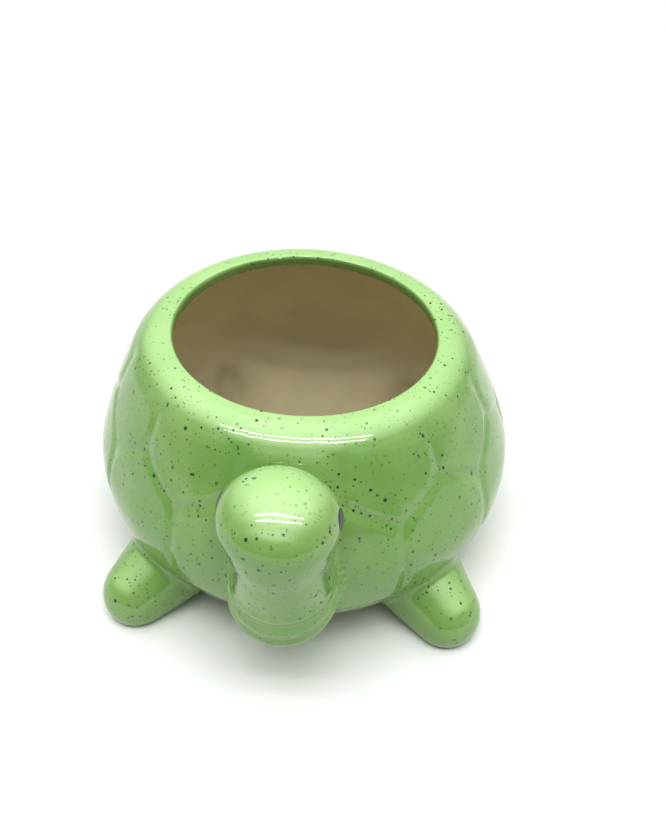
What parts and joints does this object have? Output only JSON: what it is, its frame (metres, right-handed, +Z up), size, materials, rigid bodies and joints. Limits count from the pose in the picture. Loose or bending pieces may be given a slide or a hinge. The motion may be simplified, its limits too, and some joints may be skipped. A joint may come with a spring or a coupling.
{
  "type": "animal shaped planter",
  "caption": "Tortoise-shaped planter: open-topped hollow shell with raised scutes, stout legs, folded neck, round head and a drain hole; glazed outside, bare clay inside.",
  "frame": {"origin": "centre of the drain hole at the underside, which is where the pot's axis meets the surface it stands on", "axes": "the face points to -Y and the tail to +Y, +X is the animal's left, +Z is up"},
  "size_m": [0.1418, 0.1794, 0.0788],
  "materials": {
    "bare_clay": "matte unglazed tan clay",
    "green_glaze": "glossy green glaze with fine dark specks",
    "dark_enamel": "glossy dark grey enamel"
  },
  "bodies": {
    "root": {"pot_body": "bare_clay", "shell_glaze": "green_glaze", "leg_front_left": "green_glaze", "leg_front_right": "green_glaze", "leg_rear_left": "green_glaze", "leg_rear_right": "green_glaze", "neck": "green_glaze", "head": "green_glaze", "tail": "green_glaze", "eye_left": "dark_enamel", "eye_right": "dark_enamel"}
  },
  "joints": []
}
